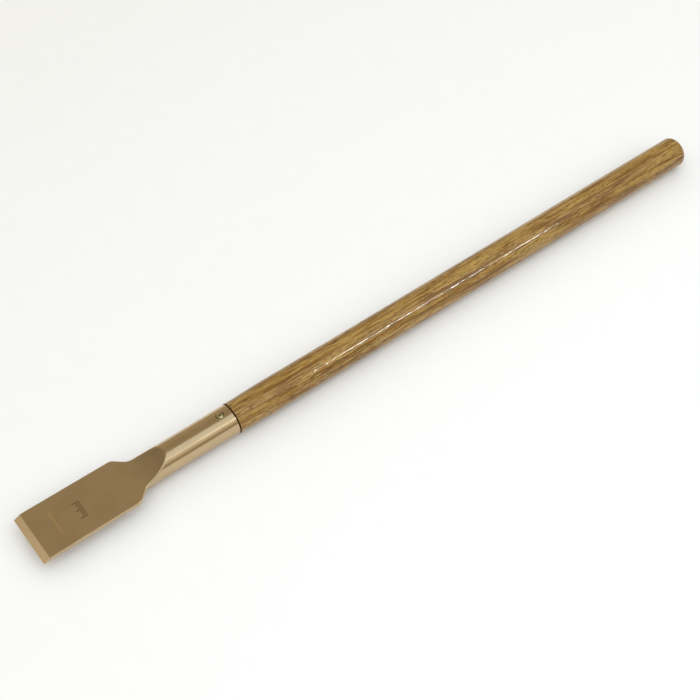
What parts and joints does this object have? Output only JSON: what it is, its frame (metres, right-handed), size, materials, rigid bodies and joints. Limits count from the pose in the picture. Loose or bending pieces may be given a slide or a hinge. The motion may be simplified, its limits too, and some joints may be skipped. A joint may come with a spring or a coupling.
{
  "type": "long-handled socket chisel",
  "caption": "Wide flat chisel blade running up into a tapered round socket, with a dark washer, a cross-recessed retaining screw and a long straight oak handle.",
  "frame": {"origin": "on the surface that the handle lies on, under the middle of the tool's length and width", "axes": "+X along the handle's axis from the cutting edge to the handle's end, +Y across the blade, +Z out of the blade's bevelled face"},
  "size_m": [0.8278, 0.06, 0.0344],
  "materials": {
    "bronze": "fine-ground satin bronze, brighter on the bevel and the socket",
    "washer_leather": "dark brown, matt",
    "oak": "turned oak with open pores under clear lacquer",
    "screw_brass": "yellow, lightly worn"
  },
  "bodies": {
    "root": {"chisel_head": "bronze", "shoulder_washer": "washer_leather", "handle": "oak", "retaining_screw": "screw_brass"}
  },
  "joints": []
}
